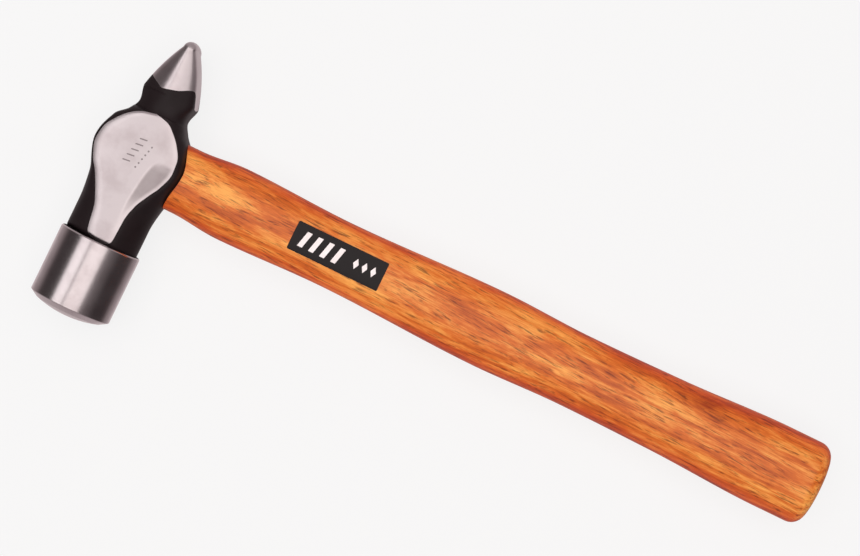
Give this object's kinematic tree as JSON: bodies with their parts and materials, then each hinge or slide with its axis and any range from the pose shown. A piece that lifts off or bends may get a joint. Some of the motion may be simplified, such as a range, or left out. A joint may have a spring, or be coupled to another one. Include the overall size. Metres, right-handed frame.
{
  "type": "cross peen hammer",
  "caption": "Hand hammer with a round crowned face, a cross peen, ground cheeks and a shaped wooden handle wedged in the eye.",
  "frame": {"origin": "under the middle of the hammer's box, on the level of the lowest point of the round face bar", "axes": "+X along the handle from the head to the butt, +Y along the head from the face to the peen, +Z out of the upper cheek"},
  "size_m": [0.305, 0.1146, 0.0322],
  "materials": {
    "head_steel": "forged, black painted, with ground and polished cheeks, face and peen",
    "handle_wood": "stained reddish orange and lacquered",
    "wedge_wood": "bare end grain",
    "wedge_steel": "dull mill finish",
    "label_film": "glossy black film with plain white print"
  },
  "bodies": {
    "root": {"head": "head_steel", "handle": "handle_wood", "wooden_wedge": "wedge_wood", "steel_wedge_face_side": "wedge_steel", "steel_wedge_peen_side": "wedge_steel", "label": "label_film"}
  },
  "joints": []
}
